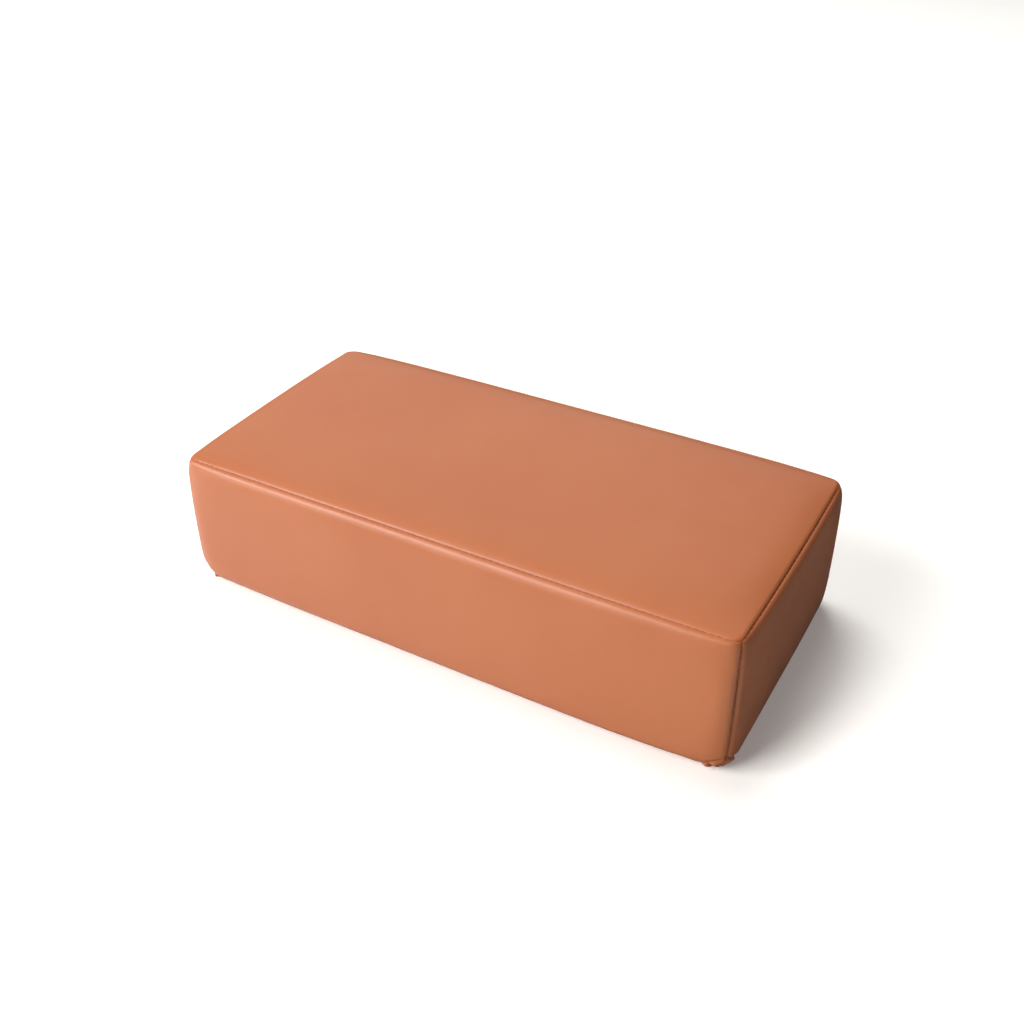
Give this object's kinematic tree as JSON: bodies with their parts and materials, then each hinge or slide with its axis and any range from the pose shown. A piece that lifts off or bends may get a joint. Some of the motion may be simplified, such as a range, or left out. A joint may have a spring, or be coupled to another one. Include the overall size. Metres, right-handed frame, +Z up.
{
  "type": "block cushion",
  "caption": "Rectangular upholstered block cushion: sewn leatherette cover over layered foam on a plywood base, with a stapled dust cover underneath.",
  "frame": {"origin": "middle of the underside, on the surface that the cushion rests on", "axes": "+X along the length, the front face towards -Y, +Z up"},
  "size_m": [0.358, 0.174, 0.0905],
  "materials": {
    "leatherette": "satin",
    "thread": "matte",
    "comfort_foam": "matte",
    "core_foam": "matte",
    "plywood": "matte",
    "nonwoven": "matte",
    "staple_steel": "satin"
  },
  "bodies": {
    "root": {"back_panel": "leatherette", "base_board": "plywood", "comfort_foam": "comfort_foam", "corner_thread_back_left": "thread", "corner_thread_back_right": "thread", "corner_thread_front_left": "thread", "corner_thread_front_right": "thread", "dust_cover": "nonwoven", "dust_staple_back_1": "staple_steel", "dust_staple_back_2": "staple_steel", "dust_staple_back_3": "staple_steel", "dust_staple_back_4": "staple_steel", "dust_staple_back_5": "staple_steel", "dust_staple_front_1": "staple_steel", "dust_staple_front_2": "staple_steel", "dust_staple_front_3": "staple_steel", "dust_staple_front_4": "staple_steel", "dust_staple_front_5": "staple_steel", "dust_staple_left_1": "staple_steel", "dust_staple_left_2": "staple_steel", "dust_staple_right_1": "staple_steel", "dust_staple_right_2": "staple_steel", "foam_core": "core_foam", "front_panel": "leatherette", "hem_staple_back_1": "staple_steel", "hem_staple_back_2": "staple_steel", "hem_staple_back_3": "staple_steel", "hem_staple_back_4": "staple_steel", "hem_staple_back_5": "staple_steel", "hem_staple_back_6": "staple_steel", "hem_staple_front_1": "staple_steel", "hem_staple_front_2": "staple_steel", "hem_staple_front_3": "staple_steel", "hem_staple_front_4": "staple_steel", "hem_staple_front_5": "staple_steel", "hem_staple_front_6": "staple_steel", "hem_staple_left_1": "staple_steel", "hem_staple_left_2": "staple_steel", "hem_staple_left_3": "staple_steel", "hem_staple_right_1": "staple_steel", "hem_staple_right_2": "staple_steel", "hem_staple_right_3": "staple_steel", "left_end_panel": "leatherette", "right_end_panel": "leatherette", "top_panel": "leatherette", "top_seam_thread": "thread"}
  },
  "joints": []
}
